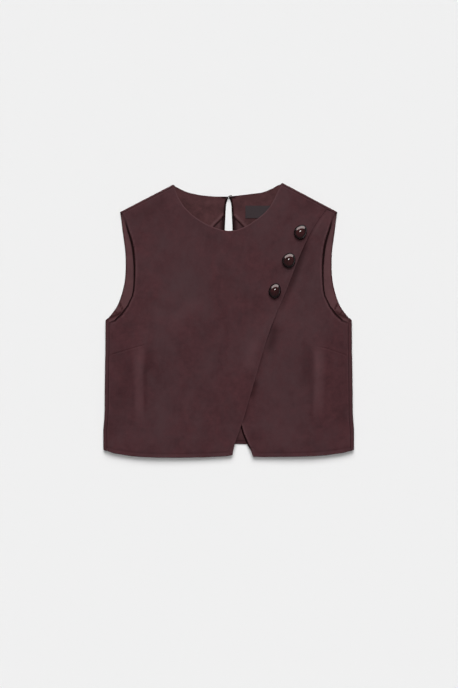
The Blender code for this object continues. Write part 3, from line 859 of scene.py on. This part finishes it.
def makeFront(nodeName, name, curlShare, onTop):
    form = Form(nodeName, curlShare, fronts["letOut"])
    folds = fronts["folds"] + fronts["upperShades" if onTop else "lowerShades"]
    hem = hemTree(form.rim)
    bm = frontSheet(form)

    def place(x, y, side):
        # Where a point of the flat sheet goes on one of its two faces, and its tone: painted highlight,
        # painted shade and the darts' seam lines
        edge, curls = form.edgeAt(x, y)
        slant = slantShare(x, y, edge) if onTop else 0.0
        calm = fade(edge / fronts["calmWidth"])
        rise, tone = softFolds(x, y, folds)
        rise += fronts["waveRise"] * noise.noise(Vector((x, y, 0.3)) / fronts["waveSize"])
        dart, dartTone = dartShape(x, y)
        away = hem.find(Vector((x, y, 0)))[2]
        line = bell((away - fronts["hemLine"]) / fronts["hemLineWidth"]) * fade(away / (3 * mm))
        rollAt, rollWidth = fronts["edgeRollPlace"]
        roll = fronts["edgeRoll"] * bell((edge - rollAt) / rollWidth) * (1 - min(curls, 1.0))
        short = max(1 - edge / fronts["curlWidth"], 0.0)
        z = form.height(x, y) + rise * calm + dart * fade(edge / (5 * mm)) - line * fronts["hemDepth"]
        z += roll - curls * fronts["curlDrop"] * short * short
        drop = roundDrop(edge, fronts["edgeRound"])
        if side < 0:
            z = z - fronts["wall"] - roll + drop * (1 - slant)
        else:
            z -= drop * (1 - 0.6 * slant)
            z -= slant * fronts["slantDrop"] * fade(1 - edge / fronts["slantWidth"])
        # Painted highlight and shade: the folds and shades, the hem line, the edge lines and the curled
        # edges' shadow lines
        tone *= calm if onTop else fade(edge / fronts["lowerCalmWidth"])
        tone += dartTone - fronts["hemTone"] * line
        tone += edgeLight(x, y, edge, curls, slant) + curlTone(x, y, edge, curls)
        return Vector((x, y, z)), max(tone, -1.0)

    doubled(bm, place, napAt)
    return pieceFrom(bm, name, leather, "leather", nodeName)


overlap = makeFront("front_overlap", "overlapLeather", armholeShare, onTop=True)
underlap = makeFront("front_underlap", "underlapLeather", notchShare, onTop=False)


# The back: a flat panel whose shoulders and sides roll over to the front

back = {
    "step": 7.0 * mm,
    "rollStep": 1.0 * mm,
    "wall": 1.6 * mm,
    "edgeRound": 0.7 * mm,
    "insets": [0.3 * mm, 0.9 * mm],
    "edgeTone": 0.10,
    "slitTone": 0.9,
    "slit": (0.014, 0.136),  # its half width and its foot, with the dark rim
    "calmWidth": 15.0 * mm,
    "sideRoll": 5.0 * mm,
    "shoulderRoll": 4.2 * mm,
    "underarm": -3.9 * mm,
    # Half widths at the sides, from the underarm down
    "sides": (
        (0.0, 0.2214), (-0.054, 0.2216), (-0.072, 0.2221), (-0.126, 0.2228), (-0.162, 0.2231),
        (-0.180, 0.2239), (-0.198, 0.2254), (-0.236, 0.2253),
    ),
    "shoulders": {-1: ((-0.1953, 0.1946), (-0.0998, 0.2440)), 1: ((0.1953, 0.1946), (0.0966, 0.2470))},
    # Creases of the side that lies on the floor, as the fronts' folds are written, their tone painted
    # shade in the creases
    "creases": (
        ((-0.1500, 0.0250), (-0.1180, -0.1450), 8.0 * mm, 2.0, 0.60 * mm, -0.20),
        ((0.1420, 0.0050), (0.1280, -0.1750), 9.0 * mm, 2.0, 0.55 * mm, -0.18),
        ((-0.0620, 0.0700), (-0.0200, -0.0800), 12.0 * mm, 2.0, 0.40 * mm, -0.10),
        ((0.0700, 0.1150), (0.1120, 0.0150), 9.0 * mm, 2.0, 0.50 * mm, -0.14),
        ((-0.1000, 0.1550), (-0.1520, 0.1000), 8.0 * mm, 2.0, 0.50 * mm, -0.12),
        ((-0.0300, -0.1200), (-0.0460, -0.2120), 10.0 * mm, 2.0, 0.50 * mm, -0.12),
        ((0.0520, -0.0950), (0.0360, -0.2150), 11.0 * mm, 2.0, 0.50 * mm, -0.12),
        ((0.1900, -0.0500), (0.1850, -0.1850), 8.0 * mm, 2.0, 0.45 * mm, -0.12),
        ((-0.1900, -0.0650), (-0.1870, -0.2020), 9.0 * mm, 2.0, 0.45 * mm, -0.12),
        ((0.0200, 0.1250), (0.0750, 0.1700), 7.0 * mm, 2.0, 0.35 * mm, -0.08),
    ),
}
sideStart = back["sides"][0][1] - back["sideRoll"]


def halfWidth(y):
    sides = back["sides"]
    for (highY, highWidth), (lowY, lowWidth) in zip(sides, sides[1:]):
        if y >= lowY:
            return between(highWidth, lowWidth, min(max((highY - y) / (highY - lowY), 0.0), 1.0))
    return sides[-1][1]


def shoulderAxes(sign):
    # A shoulder's tip, the way along its fold to the neck, and the way out over it
    tip, neck = (Vector(point) for point in back["shoulders"][sign])
    along = (neck - tip).normalized()
    return tip, along, Vector((-along.y, along.x)) * -sign


def unrolled(spot):
    # The place on the flat cut of a point of the back, and its distance from the roll's axis
    sign = -1 if spot.x < 0 else 1
    tip, along, out = shoulderAxes(sign)
    radius = back["shoulderRoll"]
    fromTip = spot.to_2d() - tip
    past = fromTip.dot(out) + radius
    if spot.y > back["underarm"] and (past > 0 or spot.z > radius) and past > -1 * mm:
        run = math.atan2(max(past, 0.0), radius - spot.z) * (radius - back["wall"] / 2)
        flat = tip + along * fromTip.dot(along) + out * (run - radius)
        return flat.to_3d(), math.hypot(past, radius - spot.z) - radius
    radius = back["sideRoll"]
    middle = radius - back["wall"] / 2
    start = halfWidth(spot.y) - radius
    past = abs(spot.x) - start
    if past > 0:
        run = math.atan2(past, radius - spot.z) * middle
        return Vector((sign * (sideStart + run), spot.y, 0)), math.hypot(past, radius - spot.z) - radius
    if spot.z > radius:
        return Vector((sign * (sideStart + math.pi * middle - past), spot.y, 0)), spot.z - 2 * radius
    return Vector((spot.x * sideStart / start, spot.y, 0)), -spot.z


def turned(past, radius):
    # How far out and how high a rolled wall's middle is, and the way out of it
    middle = radius - back["wall"] / 2
    angle = min(max(past / middle, 0.0), math.pi)
    reach = min(past, 0.0) + middle * math.sin(angle) - max(past - math.pi * middle, 0.0)
    return reach, radius - middle * math.cos(angle), math.sin(angle), -math.cos(angle)


def rolled(x, y, outward):
    # Where a point of the flat cut lies, moved out from the middle of the wall
    sign = -1 if x < 0 else 1
    tip, along, out = shoulderAxes(sign)
    radius = back["shoulderRoll"]
    fromTip = Vector((x, y)) - tip
    past = fromTip.dot(out) + radius
    if past > 0 and y > back["underarm"]:
        reach, height, aside, upward = turned(past, radius)
        spot = tip + along * fromTip.dot(along) + out * (reach - radius + aside * outward)
        return Vector((*spot, height + upward * outward))
    radius = back["sideRoll"]
    start = halfWidth(y) - radius
    past = abs(x) - sideStart
    if past <= 0:
        return Vector((x * start / sideStart, y, back["wall"] / 2 - outward))
    reach, height, aside, upward = turned(past, radius)
    return Vector((sign * (start + reach + aside * outward), y, height + upward * outward))


def makeBack():
    bm = mergedCopy("back_panel")
    # The wall's outer face is as far from the rolls' axes as the rolls are wide
    outer = [f for f in bm.faces if all(abs(unrolled(v.co)[1]) < 0.5 * mm for v in f.verts)]
    flatRim = [unrolled(point)[0] for point in rimOf(outer)]
    bm.free()
    rim = smoothRim(flatRim, 3 * mm)
    edge = rimTree(rim)
    fine = back["rollStep"]
    reach = sideStart + math.pi * (back["sideRoll"] - back["wall"] / 2)
    bands = [("x", sideStart, reach, fine), ("x", -reach, -sideStart, fine)]
    bm = flatSheet(rim, back["step"], back["insets"], bands)
    length = math.pi * (back["shoulderRoll"] - back["wall"] / 2)
    for sign in (-1, 1):
        tip, along, out = shoulderAxes(sign)
        for past in gridPlaces(0.0, length, fine):
            spot = tip + out * (past - back["shoulderRoll"])
            centres = [(f, f.calc_center_bounds()) for f in bm.faces]
            near = [f for f, centre in centres if centre.x * sign > 0.08 and centre.y > 0.17]
            cutAlong(bm, near, spot, out)
    tidyCells(bm)

    def place(x, y, side):
        distance = edge.find(Vector((x, y, 0)))[2]
        # The creases' tone is painted shade, kept only on the face that lies on the floor
        rise, tone = softFolds(x, y, back["creases"])
        outward = back["wall"] / 2 - roundDrop(distance, back["edgeRound"])
        if side < 0:
            outward -= rise * fade(distance / back["calmWidth"])
        else:
            tone = 0.0
        half, foot = back["slit"]
        dark = back["slitTone"] if abs(x) < half and y > foot else back["edgeTone"]
        tone -= dark * fade((2.6 * mm - distance) / (1.6 * mm))
        return rolled(x, y, -side * outward), tone

    doubled(bm, place)
    return pieceFrom(bm, "backLeather", leather, "leather", "back_panel")


backPiece = makeBack()


# Inside the back: satin facing and lining

inner = {
    "step": 2.6 * mm,
    # The underarm's seam and tucks: path, depth, width, tone of painted shade in them
    "tucks": (
        (((0.1990, 0.0360), (0.1890, 0.0165)), 0.5 * mm, 1.1 * mm, 0.95),
        (((0.2130, 0.0050), (0.1990, 0.0100), (0.1900, 0.0170)), 0.4 * mm, 2.4 * mm, 0.85),
        (((0.2070, 0.0190), (0.1990, 0.0090)), 0.3 * mm, 1.0 * mm, 0.60),
    ),
    "wall": 1.0 * mm,
    "edgeRound": 0.4 * mm,
    "insets": [0.3 * mm, 0.9 * mm],
    "wrinkle": 0.45 * mm,
    "wrinkleSize": 17.0 * mm,
    "liningStep": 9.0 * mm,
    "liningWrinkle": 0.2 * mm,
    # How much lighter the armholes' strips are, and darker the edges, the slit and, as painted shadow,
    # the hem's line
    "armholeTone": 0.24,
    "edgeTone": 0.25,
    "slitTone": 1.0,
    "slit": (0.012, 0.138),
    # The facing's hem beside the slit, its turned band of painted highlight and the painted shadow line
    # below it
    "hem": (((-0.0264, 0.1684), (-0.0074, 0.1875)), ((0.0074, 0.1875), (0.0264, 0.1684))),
    "hemBand": (4.2 * mm, 2.2 * mm, 0.34),
    "hemTone": 0.9,
}


def innerTone(x, y, edge):
    # Dark rolled edges at the slit, painted shadow under the facing's hem, and the painted highlight of
    # the hem's turned band above
    tone = inner["armholeTone"] * fade((abs(x) - 0.14) / 0.02)
    tone -= inner["edgeTone"] * bell(edge / (1.2 * mm))
    half, foot = inner["slit"]
    if abs(x) < half and y > foot:
        tone = -inner["slitTone"] * fade((2.6 * mm - edge) / (1.4 * mm))
    if abs(x) < 0.034 and 0.155 < y < 0.192:
        away = min(lineDistance(x, y, path)[0] for path in inner["hem"])
        middle, width, light = inner["hemBand"]
        tone += light * bell((away - middle) / width) - inner["hemTone"] * bell(away / (1.2 * mm))
    return tone


def seamDip(x, y):
    # The facing's underarm seam and the tucks below it: their depth, and their tone of painted shade
    dip, tone = 0.0, 0.0
    if abs(x) > 0.17 and y < 0.06:
        for path, depth, width, dark in inner["tucks"]:
            away, along = lineDistance(abs(x), y, path)
            size = bell(away / width) * fade((1.05 - along) / 0.3)
            dip += depth * size
            tone -= dark * size
    return dip, tone


def makeInner(nodeName, name, material, slotName, step, wrinkle):
    form = Form(nodeName)
    bm = flatSheet(form.rim, step, inner["insets"])
    tidyCells(bm)

    def place(x, y, side):
        edge, _ = form.edgeAt(x, y)
        drop = roundDrop(edge, inner["edgeRound"])
        dip, dipTone = seamDip(x, y) if slotName == "facing" else (0.0, 0.0)
        if side < 0:
            z = form.height(x, y) - inner["wall"] + drop
        else:
            wave = noise.noise(Vector((x * 1.3 + y * 0.6, y - x * 0.2, 2.1)) / inner["wrinkleSize"])
            z = form.height(x, y) - wrinkle * fade(edge / (6 * mm)) * abs(wave) - drop - dip
        return Vector((x, y, z)), max(innerTone(x, y, edge) + dipTone, -1.0)

    doubled(bm, place)
    return pieceFrom(bm, name, material, slotName, nodeName)


facingSizes = (satin, "facing", inner["step"], inner["wrinkle"])
facingLeft = makeInner("back_facing_left", "leftFacing", *facingSizes)
facingRight = makeInner("back_facing_right", "rightFacing", *facingSizes)
liningSizes = (lining, "lining", inner["liningStep"], inner["liningWrinkle"])
liningPiece = makeInner("back_lining", "innerLining", *liningSizes)


# Buttons, label and the nape's fastening

pebble = {
    "rimTop": 0.85,  # share of its height at which the dark rim begins
    "rimFade": 0.15,
    "flatAngle": 0.7,
    "shapeAngle": 1.2,
    "smoothness": 2,
}


def makeButton(nodeName, name):
    # A pebble whose colour darkens towards its rim
    bm = mergedCopy(nodeName)
    rim = bm.verts.layers.float.new("rim")
    low = min(v.co.z for v in bm.verts)
    high = max(v.co.z for v in bm.verts)
    for vert in bm.verts:
        vert[rim] = fade((pebble["rimTop"] - (vert.co.z - low) / (high - low)) / pebble["rimFade"])
    bmesh.ops.join_triangles(
        bm, faces=bm.faces, angle_face_threshold=pebble["flatAngle"],
        angle_shape_threshold=pebble["shapeAngle"], cmp_seam=False,
        cmp_sharp=False, cmp_uvs=False, cmp_materials=False,
    )
    piece = pieceFrom(bm, name, gloss, "buttons", nodeName)
    smooth = piece.modifiers.new("roundness", "SUBSURF")
    smooth.levels = smooth.render_levels = pebble["smoothness"]


for nodeName, name in (
    ("button_top", "topPebble"),
    ("button_middle", "middlePebble"),
    ("button_bottom", "bottomPebble"),
):
    makeButton(nodeName, name)

for nodeName, material in (("neck_label", labelCloth), ("nape_button", dullGloss), ("nape_loop", cord)):
    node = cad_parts[nodeName]
    node.data.materials.clear()
    node.data.materials.append(material)


# What the cloth was cut to: size, area and the pieces beneath, listed only; the loop just turns each
# into a list

for piece, size, area, under in (
    (backPiece, (0.463, 0.494), 0.193, []),
    (overlap, (0.396, 0.489), 0.125, [underlap]),
    (underlap, (0.265, 0.488), 0.091, [backPiece]),
    (facingLeft, (0.210, 0.258), 0.024, [backPiece]),
    (facingRight, (0.210, 0.261), 0.024, [backPiece]),
    (liningPiece, (0.432, 0.414), 0.134, [backPiece]),
):
    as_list(under)


# Floor, light and camera

studio = {
    "floorTone": 0.85,
    "photoMiddle": (0.6 * mm, -42.7 * mm),
    "viewHeight": 1.2384,
    "cameraHeight": 3.2,
    "sky": 0.10,
    "windowStrength": 2.90,
    "windowAngle": 44.0,
    "windowTilt": 41.0,
    "ceilingStrength": 0.72,
    "ceilingAngle": 14.0,
    "sunDistance": 3.0,
    # Two lights that only the gloss shows: a small lamp overhead and a long low strip
    "glossTarget": (0.1, 0.1, 0),
    "lampSpot": (0.12, 0.75, 2.6),
    "lampPower": 8.0,
    "lamp": {"shape": "DISK", "size": 0.45},
    "stripSpot": (0.1, 2.1, 1.15),
    "stripPower": 98.0,
    "strip": {"shape": "RECTANGLE", "size": 5.0, "size_y": 1.6, "color": (1.0, 0.84, 0.82)},
}


def makeFloor():
    bm = bmesh.new()
    bmesh.ops.create_grid(bm, x_segments=2, y_segments=2, size=4.0)
    mesh = bpy.data.meshes.new("studioFloor")
    bm.to_mesh(mesh)
    bm.free()
    material, tree, shader = newMaterial("paleFloor", 0.9, 0.0)
    tone = studio["floorTone"]
    shader.inputs["Base Color"].default_value = (tone, tone, tone, 1.0)
    mesh.materials.append(material)
    floor = bpy.data.objects.new("studioFloor", mesh)
    bpy.context.scene.collection.objects.link(floor)
    floor.location.z = -0.0002


def makeLight(name, kind, energy, spot, target, forGloss, **settings):
    # A light that only gloss shows, or one that gloss doesn't show
    data = bpy.data.lights.new(name, kind)
    data.energy = energy
    for label, value in settings.items():
        setattr(data, label, value)
    lamp = bpy.data.objects.new(name, data)
    bpy.context.scene.collection.objects.link(lamp)
    lamp.location = spot
    lamp.rotation_euler = (Vector(target) - Vector(spot)).to_track_quat("-Z", "Y").to_euler()
    lamp.visible_glossy = forGloss
    lamp.visible_diffuse = not forGloss


def makeStudio():
    makeFloor()
    world = bpy.data.worlds.new("studioSky")
    world.use_nodes = True
    shade = world.node_tree.nodes["Background"]
    shade.inputs["Color"].default_value = (1, 1, 1, 1)
    shade.inputs["Strength"].default_value = studio["sky"]
    scene = bpy.context.scene
    scene.world = world
    scene.view_settings.view_transform = "Standard"
    tilt = math.radians(studio["windowTilt"])
    far = studio["sunDistance"]
    spot = (0, far * math.sin(tilt), far * math.cos(tilt))
    wide = math.radians(studio["windowAngle"])
    makeLight("window", "SUN", studio["windowStrength"], spot, (0, 0, 0), False, angle=wide)
    wide = math.radians(studio["ceilingAngle"])
    makeLight("ceiling", "SUN", studio["ceilingStrength"], (0, 0, far), (0, 0, 0), False, angle=wide)
    for name in ("lamp", "strip"):
        spot, power = studio[name + "Spot"], studio[name + "Power"]
        makeLight(name, "AREA", power, spot, studio["glossTarget"], True, **studio[name])
    camera = bpy.data.cameras.new("photoCamera")
    camera.lens = camera.sensor_width * studio["cameraHeight"] / studio["viewHeight"]
    camera.clip_end = 20
    eye = bpy.data.objects.new("photoCamera", camera)
    scene.collection.objects.link(eye)
    eye.location = (*studio["photoMiddle"], studio["cameraHeight"])
    scene.camera = eye


makeStudio()
